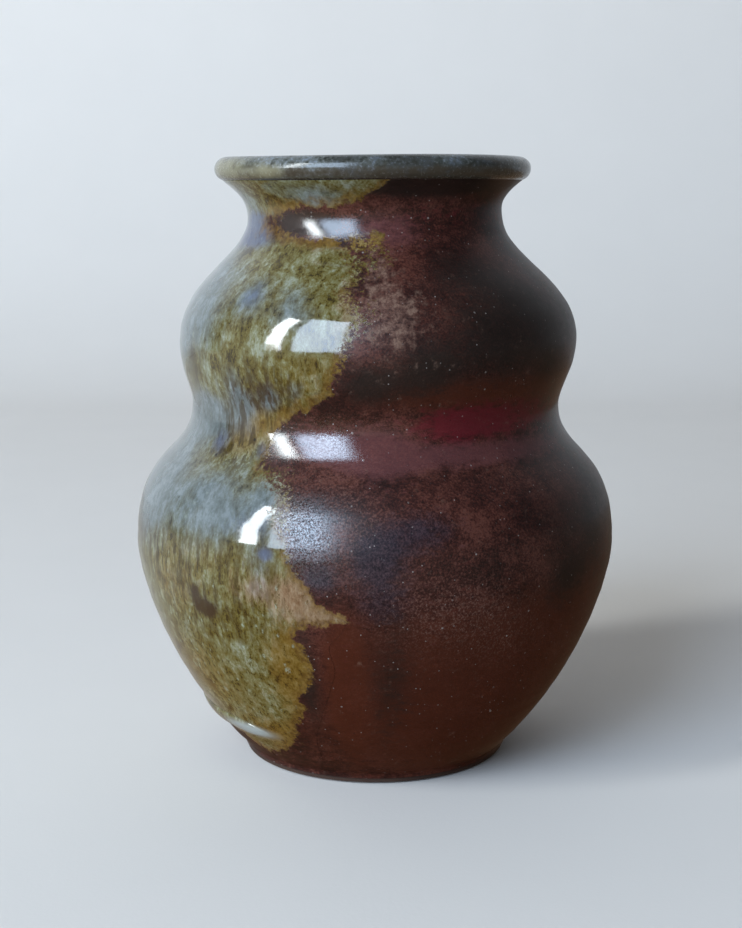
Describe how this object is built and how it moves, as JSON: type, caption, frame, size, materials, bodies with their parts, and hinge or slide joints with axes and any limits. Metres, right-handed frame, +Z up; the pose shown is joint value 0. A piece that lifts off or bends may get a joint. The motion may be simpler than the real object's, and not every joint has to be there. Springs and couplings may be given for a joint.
{
  "type": "bud vase",
  "caption": "Small wheel-thrown stoneware vase with a wide lower belly, a smaller upper belly, a narrow neck and a flared rolled lip, in iron slip with an ash glaze run on one side.",
  "frame": {"origin": "centre of the foot, on the surface the vase stands on", "axes": "+Z up along the axis the vase was thrown on; -Y is the front, where the ash glaze run on the left (-X) meets the bare slip on the right (+X)"},
  "size_m": [0.0968, 0.0964, 0.1196],
  "materials": {
    "stoneware": "bare fired stoneware, matt",
    "iron_slip": "satin iron red-brown slip",
    "ash_glaze": "glossy mottled olive, grey and amber ash glaze",
    "glaze_roll": "glossy pooled ash glaze",
    "rim_glaze": "glossy grey-green glaze",
    "liner_glaze": "glossy liner glaze"
  },
  "bodies": {
    "root": {"stoneware_body": "stoneware", "iron_slip": "iron_slip", "ash_glaze": "ash_glaze", "glaze_roll": "glaze_roll", "rim_glaze": "rim_glaze", "liner_glaze": "liner_glaze"}
  },
  "joints": []
}
